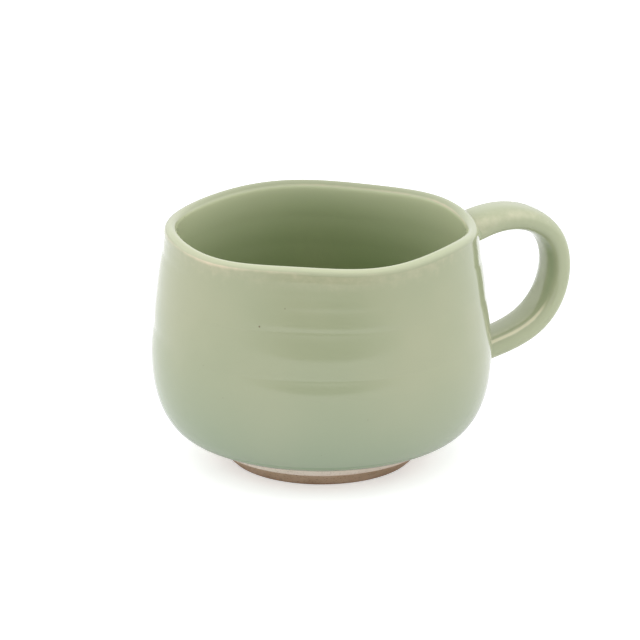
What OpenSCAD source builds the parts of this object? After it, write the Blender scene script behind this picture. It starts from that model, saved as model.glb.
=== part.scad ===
// Hand-thrown ceramic mug with a pulled strap handle.
// The frame's origin is the middle of the flat foot, on the axis it was thrown about.
// +Z is up and +X points from the axis towards the handle.

/* [Body] */
// Height of the rim's crest over the table
rim_z = 72.5; // [66:0.5:80]
// Diameter of the belly at its widest ring
belly_d = 102; // [98:0.5:108]
// Height of the widest ring
belly_z = 34.5; // [32:0.5:38]
// Diameter over the outside of the rim
rim_d = 93.2; // [90:0.2:97]
// Thickness of the rounded lip
lip_t = 3.7; // [3.4:0.1:4.4]
// Thickness of the wall at the belly
wall_t = 4.4; // [4:0.1:5]
// Thickness of the floor
floor_t = 5; // [4:0.25:6.5]

/* [Foot] */
// Diameter of the flat ring that the mug stands on
foot_d = 55.2; // [50:0.2:57]
// Height of the bare foot
foot_h = 4.4; // [3.5:0.1:4.8]
// Diameter of the foot where it meets the body
foot_top_d = 64; // [62:0.2:65]
// Width of the ring that touches the table
foot_land = 4.8; // [3:0.2:6]
// Diameter of the edge where the glaze ends
glaze_line_d = 67; // [66.2:0.2:68]
// Height of the edge where the glaze ends
glaze_line_z = 7.8; // [7:0.1:8.4]

/* [Rim ripple] */
// Rise of the slow roll, once round the rim
roll_h = 0.3; // [0:0.05:0.6]
// Rise of the soft sag, three times round the rim
sag_h = 0.2; // [0:0.05:0.5]
// Rise of the pinched ripple, five times round the rim
ripple_h = 0.5; // [0:0.05:0.8]

/* [Handle] */
// Distance from the axis to the strap's middle at its farthest
handle_reach = 76.8; // [74:0.2:82]
// Height at which the strap leaves the rim
upper_root_z = 65; // [63:0.25:65]
// Height at which the strap comes back to the belly
lower_root_z = 27; // [24:0.25:30]
// Width of the strap, glaze included
strap_w = 15.2; // [12:0.2:18]
// Thickness of the strap, glaze included
strap_t = 7.5; // [6.5:0.1:8.5]
// Radius of the fillet round each root
fillet_r = 2.2; // [1.5:0.1:2.6]

/* [Glaze] */
// Thickness of the glaze coats
glaze_t = 0.4; // [0.3:0.05:0.6]
// Depth to which the outer glaze laps over the lip
lap_depth = 5; // [4:0.5:8]

/* [Hidden] */

SAGE = [0.66, 0.70, 0.57];
PALE_SAGE = [0.74, 0.78, 0.66];
TOASTED = [0.56, 0.47, 0.37];
CREAM = [0.77, 0.70, 0.63];

FACETS = 60;        // round the body
FOOT_FACETS = 120;  // round the turned foot
STRAP_FACETS = 20;  // round the strap
STRAP_RINGS = 24;   // along the strap
FULLNESS = 2.34;    // how squarely the belly turns under
TUCK = 0.78;        // how far out the underside stays level, less is farther
RIM_TAPER = 1.3;    // how late the wall leans in towards the rim
HOLLOW = 3;         // how squarely the hollow's floor meets its wall
STRAP_ROUND = 2.5;  // 2 is an ellipse, more is a rounder-cornered strap
STILL_PART = 0.35;  // share of the height below which the ripple has died away
BEVEL = 0.35;       // worn edge of the foot
RECESS_DRAFT = 1.5; // how much narrower the recess is at its top
UNDER_STEP = 14.5;  // degrees between the rings of the underside, counted from the widest one
BOWL_STEP = 13;     // degrees between the rings of the hollow's floor, counted from the axis
LIP_STEP = 36;      // degrees between the rings of the lip
COVE_STEP = 22.5;   // degrees between the rings of a fillet
ROOT_GAP = 3.5;     // how far from the wall the free strap begins
SPLINE_END = 0.9999;  // the spline's end, kept inside its last span
SPLINE_GAP = 0.001;   // half the step over which its direction is taken

belly_r = belly_d / 2;
rim_r = rim_d / 2;
lip_r = lip_t / 2;
lip_z = rim_z - lip_r;
edge_r = glaze_line_d / 2;
floor_z = foot_h + floor_t;
// waves round the rim, each as [count, rise, phase in degrees]
WAVES = [
    [1, roll_h, 67], [2, roll_h / 2, -152], [3, sag_h, -142],
    [5, ripple_h, 96], [6, ripple_h * 0.3, 30]
];

// ---- shared geometry ----

function unit(v) = v / norm(v);
function total(v, i = 0) = i == len(v) - 1 ? v[i] : v[i] + total(v, i + 1);

// Share of the rim's ripple that reaches a height, rising smoothly from 0 to 1
function stir(z) =
    let (g = min(max((z / lip_z - STILL_PART) / (1 - STILL_PART), 0), 1))
    g * g * (3 - 2 * g);

// Point of the body at an angle, lifted by the ripple
function place(p, a) =
    let (lift = total([for (w = WAVES) w[1] * cos(w[0] * a - w[2])]))
    [p.x * cos(a), p.x * sin(a), p.y + stir(p.y) * lift];

// Outer radius of the finished wall at a height above the widest ring
function upper_r(z) =
    let (share = (z - belly_z) / (lip_z - belly_z))
    belly_r - (belly_r - rim_r) * pow(share, RIM_TAPER);
// and below it
function lower_r(z) =
    let (share = (belly_z - z) / (belly_z - glaze_line_z))
    edge_r + (belly_r - edge_r) * pow(1 - pow(share, FULLNESS), TUCK / 2);
function wall_r(z) = z > belly_z ? upper_r(z) : lower_r(z);

// Underside from the glaze line up to the widest ring, as radius and height
UNDER = [for (a = [90 - 6 * UNDER_STEP : UNDER_STEP : 90]) [
    edge_r + (belly_r - edge_r) * pow(sin(a), TUCK),
    belly_z - (belly_z - glaze_line_z) * pow(cos(a), 2 / FULLNESS)
]];
// Wall from the widest ring up to the lip
WALL = [for (i = [1 : 5]) let (z = belly_z + (lip_z - belly_z) * i / 5) [upper_r(z), z]];
// Round lip, from the outside over the crest to the inside
LIP = [for (a = [LIP_STEP : LIP_STEP : 180])
    [rim_r - lip_r + lip_r * cos(a), lip_z + lip_r * sin(a)]];
// Inside wall down to the widest ring
function inner_r(z) =
    let (s = (lip_z - z) / (lip_z - belly_z)) upper_r(z) - lip_t - (wall_t - lip_t) * s;
LAP = [for (i = [1 : 2]) let (z = lip_z - lap_depth * i / 2) [inner_r(z), z]];
INSIDE = [for (i = [1 : 4])
    let (z = lip_z - lap_depth - (lip_z - lap_depth - belly_z) * i / 4) [inner_r(z), z]];
// Rounded floor of the hollow, ending on the axis
BOWL = [for (a = [90 - 6 * BOWL_STEP : BOWL_STEP : 90]) [
    (belly_r - wall_t) * pow(cos(a), 2 / HOLLOW),
    belly_z - (belly_z - floor_z) * pow(sin(a), 2 / HOLLOW)
]];

COAT_OUT = concat([[edge_r, glaze_line_z]], UNDER, WALL, LIP, LAP);
COAT_IN = concat([LAP[1]], INSIDE, [for (p = BOWL) if (p.x > 1) p], [[0, floor_z]]);
COAT = concat(COAT_OUT, [for (i = [1 : len(COAT_IN) - 1]) COAT_IN[i]]);

// A path moved to its left by a distance; a point on the axis stays on it
function inset(path, by) = [for (i = [0 : len(path) - 1])
    let (t = unit(path[min(i + 1, len(path) - 1)] - path[max(i - 1, 0)]))
    path[i].x == 0 ? path[i] - [0, by] : path[i] + by * [-t.y, t.x]];
CLAY = inset(COAT, glaze_t);
function part_of(path, first, last) = [for (i = [first : last]) path[i]];
SEAM = len(COAT_OUT) - 1;

// Triangles between ring a and ring b, each of n points, where b lies to the left of a
function band(a, b, n) = [for (i = [0 : n - 1]) let (j = (i + 1) % n)
    each [[a * n + i, b * n + i, b * n + j], [a * n + i, b * n + j, a * n + j]]];

// Closed ring of rings: the last one joins the first
module hoop(rings) {
    n = len(rings[0]);
    m = len(rings);
    polyhedron(
        [for (ring = rings) each ring],
        [for (i = [0 : m - 1]) each band(i, (i + 1) % m, n)]);
}

// Closed stack of rings with a middle point at each end
module stack(rings, first, last) {
    n = len(rings[0]);
    m = len(rings);
    polyhedron(
        concat([for (ring = rings) each ring], [first, last]),
        concat(
            [for (i = [0 : m - 2]) each band(i, i + 1, n)],
            [for (i = [0 : n - 1]) [n * m, i, (i + 1) % n]],
            [for (i = [0 : n - 1]) [n * m + 1, (m - 1) * n + (i + 1) % n, (m - 1) * n + i]]));
}

function turned(p) = [for (i = [0 : FACETS - 1]) place(p, i * 360 / FACETS)];

// ---- strap ----

// Clamped cubic B-spline over a control polygon
function knot(i, n) = min(max(i - 3, 0), n - 3) / (n - 3);
function share(u, low, high) = high > low ? (u - low) / (high - low) : 0;
function weight(i, k, u, n) =
    k == 0 ? (u >= knot(i, n) && u < knot(i + 1, n) ? 1 : 0)
    : share(u, knot(i, n), knot(i + k, n)) * weight(i, k - 1, u, n)
        + (knot(i + k + 1, n) > knot(i + 1, n) ? 1 - share(u, knot(i + 1, n), knot(i + k + 1, n)) : 0)
            * weight(i + 1, k - 1, u, n);
function spline(pts, u) = total([for (i = [0 : len(pts) - 1]) weight(i, 3, u, len(pts)) * pts[i]]);

// Control points of the strap's middle, set off from its roots and its reach
STRAP_LINE = [
    [wall_r(upper_root_z) + ROOT_GAP, upper_root_z + 1.5],
    [handle_reach - 17.5, upper_root_z + 4.4],
    [handle_reach - 2.2, upper_root_z + 1.5],
    [handle_reach + 1.9, (upper_root_z + lower_root_z) / 2 + 2.6],
    [handle_reach - 5.6, lower_root_z + 6.3],
    [handle_reach - 16, lower_root_z + 2.6],
    [wall_r(lower_root_z) + ROOT_GAP, lower_root_z + 0.9]
];
function strap_at(u) = spline(STRAP_LINE, min(u, SPLINE_END));
function strap_dir(u) = unit(strap_at(u + SPLINE_GAP) - strap_at(max(u - SPLINE_GAP, 0)));

// Point of the strap's section: a superellipse of half thickness a and half width b
function rounded(c) = sign(c) * pow(abs(c), 2 / STRAP_ROUND);
function strap_point(u, v, a, b) =
    let (p = strap_at(u), d = strap_dir(u), e = a * rounded(cos(v)))
    [p.x - d.y * e, -b * rounded(sin(v)), p.y + d.x * e];
function strap_ring(u, a, b) = [for (i = [0 : STRAP_FACETS - 1])
    strap_point(u, i * 360 / STRAP_FACETS, a, b)];

// Slides a point along a direction on to the wall, whose surface is inset by a depth
function on_wall(p, d, depth, tries = 4) =
    tries == 0 ? p
    : let (miss = wall_r(p.z) - depth - norm([p.x, p.y]))
      on_wall(p + d * miss / d.x, d, depth, tries - 1);
// Direction of the strap at a root, pointing away from the wall
function root_dir(u) = let (d = strap_dir(u), s = d.x > 0 ? 1 : -1) [s * d.x, 0, s * d.y];
function root_ring(u, a, b, depth) = [for (p = strap_ring(u, a, b)) on_wall(p, root_dir(u), depth)];

// Every ring of the strap from wall to wall, with its surface inset by a depth
function strap_rings(depth, wall_depth) =
    let (a = strap_t / 2 - depth, b = strap_w / 2 - depth)
    concat(
        [root_ring(0, a, b, wall_depth)],
        [for (i = [0 : STRAP_RINGS]) strap_ring(i / STRAP_RINGS, a, b)],
        [root_ring(1, a, b, wall_depth)]);

// Middle of a ring
function middle(ring) = total(ring) / len(ring);

// Hole that the strap's clay needs through the glaze at one root
module root_hole(u) {
    outline = strap_ring(u, strap_t / 2 - glaze_t, strap_w / 2 - glaze_t);
    out = root_dir(u);
    near = [for (p = outline) p + out * ROOT_GAP];
    far = [for (p = outline) p - out * 2 * ROOT_GAP];
    rings = u < 0.5 ? [far, near] : [near, far];
    stack(rings, middle(rings[0]), middle(rings[1]));
}

// Fillet round one root: a ring with a concave quarter-round face
module root_fillet(u) {
    out = root_dir(u);
    corner = root_ring(u, strap_t / 2, strap_w / 2, 0);
    cove = [for (a = [0 : COVE_STEP : 90])
        let (wide = fillet_r * (1 - cos(a)), tall = fillet_r * (1 - sin(a)))
        [for (p = root_ring(u, strap_t / 2 + wide, strap_w / 2 + wide, 0)) p + out * tall]];
    rings = concat([corner], cove);
    hoop(u > 0.5 ? rings : [for (i = [len(rings) - 1 : -1 : 0]) rings[i]]);
}

// ---- pieces ----

// Thrown wall and floor, from the flat underside to the lip
module clay_body() {
    band_in = foot_top_d / 2 - glaze_t;
    path = concat([[band_in, foot_h]], part_of(CLAY, 0, len(CLAY) - 2));
    color(CREAM) stack([for (p = path) turned(p)], [0, 0, foot_h], [0, 0, floor_z - glaze_t]);
}

// Trimmed ring that the mug stands on
module foot_ring() {
    out_r = foot_d / 2;
    color(TOASTED) rotate_extrude($fn = FOOT_FACETS) polygon([
        [out_r - foot_land, 0], [out_r - BEVEL, 0], [out_r, BEVEL],
        [foot_top_d / 2, foot_h], [out_r - foot_land - RECESS_DRAFT, foot_h]
    ]);
}

// Pale band wiped round the top of the foot
module foot_wash() {
    color(CREAM) rotate_extrude($fn = FOOT_FACETS) polygon([
        [foot_top_d / 2 - glaze_t, foot_h], [foot_top_d / 2, foot_h], [edge_r, glaze_line_z], CLAY[0]
    ]);
}

// Pulled clay strap between its two roots
module handle() {
    rings = strap_rings(glaze_t, glaze_t);
    color(CREAM) stack(rings, middle(rings[0]), middle(rings[len(rings) - 1]));
}

module upper_joint() {
    color(PALE_SAGE) root_fillet(0);
}

module lower_joint() {
    color(PALE_SAGE) root_fillet(1);
}

// Dipped coat from the glaze line up the outside, over the lip and a little way in
module outer_glaze() {
    back = part_of(CLAY, 0, SEAM);
    loop = concat(COAT_OUT, [for (i = [SEAM : -1 : 0]) back[i]]);
    color(SAGE) difference() {
        hoop([for (p = loop) turned(p)]);
        root_hole(0);
        root_hole(1);
    }
}

// Poured coat of the hollow
module liner_glaze() {
    last = len(COAT) - 1;
    skin = part_of(COAT, SEAM, last - 1);
    back = part_of(CLAY, SEAM, last - 1);
    color(SAGE) stack(
        concat([for (i = [len(back) - 1 : -1 : 0]) turned(back[i])], [for (p = skin) turned(p)]),
        [0, 0, floor_z - glaze_t], [0, 0, floor_z]);
}

// Coat round the strap
module handle_glaze() {
    skin = strap_rings(0, 0);
    core = strap_rings(glaze_t, 0);
    color(SAGE) hoop(concat(skin, [for (i = [len(core) - 1 : -1 : 0]) core[i]]));
}

clay_body();
foot_ring();
handle();
upper_joint();
lower_joint();
outer_glaze();
liner_glaze();
handle_glaze();
foot_wash();
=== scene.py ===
"""Looks of a hand-thrown stoneware mug: clay, turned foot, pulled handle and sage glaze coats.

Every length is in metres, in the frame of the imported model: the origin is the middle of the flat
foot, +Z is up and +X points from the axis towards the handle.
"""
import logging
import math
from dataclasses import dataclass
from enum import Enum
from functools import cache
from typing import Callable, Sequence

import bpy
import numpy as np
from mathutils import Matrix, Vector


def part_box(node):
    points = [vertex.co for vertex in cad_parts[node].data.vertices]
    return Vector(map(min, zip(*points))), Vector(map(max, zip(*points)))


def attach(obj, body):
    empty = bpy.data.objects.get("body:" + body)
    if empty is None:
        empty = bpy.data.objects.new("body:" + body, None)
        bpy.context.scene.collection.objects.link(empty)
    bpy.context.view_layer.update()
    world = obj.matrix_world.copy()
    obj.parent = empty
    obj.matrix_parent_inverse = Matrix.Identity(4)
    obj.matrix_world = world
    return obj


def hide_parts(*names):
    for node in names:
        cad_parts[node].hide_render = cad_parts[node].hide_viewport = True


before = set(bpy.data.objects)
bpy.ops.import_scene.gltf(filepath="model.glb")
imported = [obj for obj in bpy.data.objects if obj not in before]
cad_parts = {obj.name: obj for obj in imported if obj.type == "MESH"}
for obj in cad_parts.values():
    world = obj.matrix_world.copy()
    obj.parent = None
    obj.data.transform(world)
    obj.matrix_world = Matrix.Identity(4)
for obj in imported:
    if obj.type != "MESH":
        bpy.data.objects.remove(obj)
LOG = logging.getLogger("mug")
MM = 0.001
FRONT = -112.0  # angle of the side that faces the studio's camera, in degrees from +X
Array = np.ndarray
Piece = bpy.types.Object
Socket = bpy.types.NodeSocket


# ---- meshes


def smooth_step(x: Array) -> Array:
    """Rise from 0 to 1 over x = 0 to 1, level at both ends: 3x^2 - 2x^3."""
    g = np.clip(x, 0.0, 1.0)
    return g * g * (3.0 - 2.0 * g)


def bell(x: Array) -> Array:
    """Bell curve of height 1 and width 1: exp(-x^2)."""
    return np.exp(-x * x)


def length_along(path: Array) -> Array:
    """Distance from the path's first point to each of its points."""
    return np.concatenate([[0.0], np.cumsum(np.hypot(*np.diff(path, axis=0).T))])


def walk(path: Array, count: int) -> Array:
    """Points at equal steps along a path.

    Args:
        path: fine polyline, one (radius, height) row a point.
        count: number of points wanted.
    Returns:
        The new points, first and last kept.
    """
    run = length_along(path)
    at = np.linspace(0.0, run[-1], count)
    return np.stack([np.interp(at, run, column) for column in path.T], axis=1)


def tangents(path: Array) -> Array:
    """Unit directions along a path of (radius, height) points."""
    t = np.gradient(path, axis=0)
    return t / np.linalg.norm(t, axis=1, keepdims=True)


def left_normals(path: Array) -> Array:
    """Unit normals to the left of a path of (radius, height) points."""
    t = tangents(path)
    return np.stack([-t[:, 1], t[:, 0]], axis=1)


def ring_faces(rows: int, cols: int, closed: bool) -> Array:
    """Quads of a grid whose columns run round a ring.

    Args:
        rows: number of rings.
        cols: points in each ring.
        closed: whether the last ring joins the first.
    Returns:
        Four point numbers a face; the face's outside is to the right of the way from ring to ring.
    """
    i = np.arange(rows if closed else rows - 1)[:, None]
    j = np.arange(cols)[None, :]
    k = (j + 1) % cols
    up = (i + 1) % rows
    quads = np.stack([i * cols + j, i * cols + k, up * cols + k, up * cols + j], axis=-1)
    return quads.reshape(-1, 4)


def ring_mesh(name: str, rings: Array, closed: bool, marks: dict[str, Array]) -> Piece:
    """Builds one closed piece from rings of points.

    Args:
        name: the piece's name.
        rings: points, as (ring, place in the ring, xyz).
        closed: True joins the last ring to the first, False closes each end with a fan of
            triangles round the ring's middle point.
        marks: named values, one a point of the grid, kept as point attributes.
    Returns:
        The new object, at the origin.
    """
    rows, cols = rings.shape[:2]
    points = rings.reshape(-1, 3)
    faces = ring_faces(rows, cols, closed).tolist()
    values = {key: np.broadcast_to(value, (rows, cols)).reshape(-1) for key, value in marks.items()}
    if not closed:
        j = np.arange(cols)
        k = (j + 1) % cols
        first, last = rows * cols, rows * cols + 1
        points = np.concatenate([points, rings[[0, -1]].mean(axis=1)])
        faces += np.stack([np.full(cols, first), k, j], axis=1).tolist()
        end = (rows - 1) * cols
        faces += np.stack([np.full(cols, last), end + j, end + k], axis=1).tolist()
        values = {key: np.concatenate([v, v[[0, -1]]]) for key, v in values.items()}
    mesh = bpy.data.meshes.new(name)
    mesh.from_pydata(points.tolist(), [], faces)
    for key, value in values.items():
        layer = mesh.attributes.new(key, "FLOAT", "POINT")
        layer.data.foreach_set("value", np.ascontiguousarray(value, np.float32))
    mesh.shade_smooth()
    mesh.set_sharp_from_angle(angle=math.radians(50.0))
    mesh.validate()
    piece = bpy.data.objects.new(name, mesh)
    bpy.context.scene.collection.objects.link(piece)
    return piece


# ---- form of the mug


@dataclass(frozen=True)
class Wave:
    """One wave round the rim: how many times round, its rise and where it peaks."""

    count: int
    rise: float
    phase: float


RIM_WAVES = (
    Wave(1, 0.30 * MM, 67.0),
    Wave(2, 0.15 * MM, -152.0),
    Wave(3, 0.20 * MM, -142.0),
    Wave(5, 0.50 * MM, 96.0),
    Wave(6, 0.15 * MM, 30.0),
)


def rim_lift(angle: Array) -> Array:
    """Height of the rim's ripple: the sum of rise * cos(count * angle - phase) over the waves."""
    return sum(w.rise * np.cos(w.count * angle - math.radians(w.phase)) for w in RIM_WAVES)


@dataclass(frozen=True)
class ThrowingLine:
    """A crease that the potter's fingers left round the wall.

    The wall sinks by depth at the crease and comes back over the lengths below and above it. The
    crease is deepest at the angle facing and fades over the angle spread; tilt makes it climb.
    """

    height: float
    depth: float
    below: float
    above: float
    facing: float
    spread: float
    tilt: float

    def sink(self, angle: Array, z: Array) -> Array:
        """How far the wall sinks: depth * strength(angle) * exp(-distance / reach).

        Args:
            angle: angle round the axis, in radians.
            z: height.
        Returns:
            A depth, 0 or more.
        """
        turn = (angle - math.radians(self.facing) + math.pi) % (2.0 * math.pi) - math.pi
        strength = 0.04 + 0.96 * bell(turn / math.radians(self.spread))
        away = z - self.height - self.tilt * np.sin(turn)
        reach = np.where(away > 0.0, self.above, self.below)
        soft = np.sqrt(away * away + (0.3 * MM) ** 2) - 0.3 * MM
        return self.depth * strength * np.exp(-soft / reach)


def throwing_lines(*rows: tuple[float, ...]) -> tuple[ThrowingLine, ...]:
    """Throwing lines from rows in their fields' order, in millimetres and degrees."""
    return tuple(
        ThrowingLine(z * MM, depth * MM, below * MM, above * MM, facing, spread, tilt * MM)
        for z, depth, below, above, facing, spread, tilt in rows
    )


OUTER_LINES = throwing_lines(
    (70.2, 0.14, 6.0, 1.5, FRONT, 60.0, 0.3),
    (54.0, 0.20, 4.0, 1.5, FRONT, 60.0, 0.3),
    (40.2, 0.48, 4.5, 3.2, FRONT, 55.0, 0.2),
    (61.5, 0.04, 1.5, 2.5, -100.0, 40.0, 0.6),
    (64.6, 0.45, 1.8, 5.0, 158.0, 32.0, 0.0),
    (42.0, 0.30, 1.8, 4.0, 158.0, 30.0, 0.0),
    (62.6, 0.30, 1.6, 4.0, -22.0, 28.0, 0.0),
    (51.0, 0.25, 2.0, 4.0, -22.0, 28.0, 0.0),
    (58.5, 0.22, 4.0, 1.8, 70.0, 60.0, 1.0),
    (44.0, 0.35, 4.5, 2.8, 80.0, 60.0, -0.8),
)
INNER_LINES = throwing_lines(
    (60.5, 0.12, 3.0, 3.0, 60.0, 90.0, 0.8),
    (52.0, 0.15, 3.5, 2.5, 80.0, 90.0, 0.8),
    (42.5, 0.18, 3.5, 3.0, -60.0, 120.0, 1.0),
    (32.0, 0.20, 3.5, 3.0, 130.0, 120.0, 1.0),
    (22.5, 0.20, 3.0, 3.0, 0.0, 150.0, 1.0),
)


@dataclass(frozen=True)
class MugForm:
    """The mug's sizes and the curves they drive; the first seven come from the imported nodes."""

    belly_r: float
    edge_r: float
    edge_z: float
    foot_h: float
    foot_top_r: float
    floor_z: float
    rim_z: float
    glaze_t: float = 0.4 * MM
    lip_t: float = 3.7 * MM
    wall_t: float = 4.4 * MM
    lap_depth: float = 5.0 * MM
    rim_r: float = 46.6 * MM
    belly_z: float = 34.5 * MM
    land: float = 4.8 * MM
    foot_r: float = 27.6 * MM
    fullness: float = 2.34
    tuck: float = 0.78
    rim_taper: float = 1.3
    hollow: float = 3.0
    still_part: float = 0.35
    facets: int = 288

    @classmethod
    def measured(cls) -> "MugForm":
        """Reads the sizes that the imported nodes' boxes show."""
        coat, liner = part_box("outer_glaze"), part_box("liner_glaze")
        foot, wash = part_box("foot_ring"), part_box("foot_wash")
        round_rim = np.radians(np.arange(0.0, 360.0, 0.5))
        return cls(
            belly_r=coat[1].y,
            edge_r=wash[1].x,
            edge_z=coat[0].z,
            foot_h=foot[1].z,
            foot_top_r=foot[1].x,
            floor_z=liner[0].z + cls.glaze_t,
            rim_z=coat[1].z - float(rim_lift(round_rim).max()),
        )

    @property
    def lip_z(self) -> float:
        """Height of the middle of the lip's round."""
        return self.rim_z - self.lip_t / 2.0

    @property
    def coat_t(self) -> float:
        """Thickness of a modelled coat, a tenth under the glaze's so that it clears the clay."""
        return 0.9 * self.glaze_t

    def angles(self) -> Array:
        """Angles of the columns round the axis."""
        return np.linspace(0.0, 2.0 * math.pi, self.facets, endpoint=False)

    def from_front(self) -> Array:
        """Angles of the columns, as one row, counted from the side that faces the camera."""
        return self.angles()[None, :] - math.radians(FRONT)

    def beyond_lip(self, path: Array, share: float) -> Array:
        """Which rows lie on the hollow's side of the lip, past a share of its thickness."""
        return (path[:, 0] < self.rim_r - self.lip_t * share) & (path[:, 1] > self.belly_z)

    def wall_r(self, z: Array) -> Array:
        """Outer radius of the finished wall.

        Above the widest ring it leans in by (share of the height) ^ rim_taper; below, it turns
        under as edge_r + (belly_r - edge_r) * (1 - (share of the drop) ^ fullness) ^ (tuck / 2).

        Args:
            z: heights.
        Returns:
            A radius for each height.
        """
        up = np.clip((z - self.belly_z) / (self.lip_z - self.belly_z), 0.0, None)
        down = np.clip((self.belly_z - z) / (self.belly_z - self.edge_z), 0.0, 1.0)
        high = self.belly_r - (self.belly_r - self.rim_r) * up ** self.rim_taper
        tucked = (1.0 - down ** self.fullness) ** (self.tuck / 2.0)
        low = self.edge_r + (self.belly_r - self.edge_r) * tucked
        return np.where(z > self.belly_z, high, low)

    def inner_r(self, z: Array) -> Array:
        """Radius of the hollow above the widest ring: the wall less a thickness that grows down."""
        share = (self.lip_z - z) / (self.lip_z - self.belly_z)
        return self.wall_r(z) - self.lip_t - (self.wall_t - self.lip_t) * share

    def outside(self) -> Array:
        """Fine path of the outer coat, from the glaze line over the lip and down to the lap."""
        a = np.radians(np.linspace(0.0, 90.0, 400))
        under = np.stack([
            self.edge_r + (self.belly_r - self.edge_r) * np.sin(a) ** self.tuck,
            self.belly_z - (self.belly_z - self.edge_z) * np.cos(a) ** (2.0 / self.fullness),
        ], axis=1)
        z = np.linspace(self.belly_z, self.lip_z, 300)[1:]
        wall = np.stack([self.wall_r(z), z], axis=1)
        b = np.radians(np.linspace(0.0, 180.0, 120))[1:]
        half = self.lip_t / 2.0
        lip = np.stack([self.rim_r - half + half * np.cos(b), self.lip_z + half * np.sin(b)], axis=1)
        z = np.linspace(self.lip_z, self.lip_z - self.lap_depth, 60)[1:]
        lap = np.stack([self.inner_r(z), z], axis=1)
        return np.concatenate([under, wall, lip, lap])

    def inside(self) -> Array:
        """Fine path of the liner, from the lap down the hollow to its middle."""
        z = np.linspace(self.lip_z - self.lap_depth, self.belly_z, 300)
        wall = np.stack([self.inner_r(z), z], axis=1)
        a = np.radians(np.linspace(0.0, 90.0, 600))[1:]
        bowl = np.stack([
            (self.belly_r - self.wall_t) * np.cos(a) ** (2.0 / self.hollow),
            self.belly_z - (self.belly_z - self.floor_z) * np.sin(a) ** (2.0 / self.hollow),
        ], axis=1)
        path = np.concatenate([wall, bowl])
        return path[path[:, 0] > 0.3 * MM]

    def turned(self, path: Array, shift: Array) -> Array:
        """Turns a path round the axis and lifts it with the rim's ripple.

        Args:
            path: (radius, height) rows.
            shift: radial shift, one a row and column.
        Returns:
            Points, as (row, column, xyz).
        """
        angle = self.angles()[None, :]
        r = path[:, :1] + shift
        z = path[:, 1:]
        stir = smooth_step((z / self.lip_z - self.still_part) / (1.0 - self.still_part))
        lifted = z + stir * rim_lift(angle)
        return np.stack(np.broadcast_arrays(r * np.cos(angle), r * np.sin(angle), lifted), axis=-1)

    def sunk(self, path: Array, lines: Sequence[ThrowingLine]) -> Array:
        """Depth of all throwing lines at each row and column of a turned path."""
        angle = self.angles()[None, :]
        z = path[:, 1:]
        fade = smooth_step((self.lip_z - z) / (2.0 * MM))
        return fade * sum(line.sink(angle, z) for line in lines)


# ---- shader groups


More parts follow.
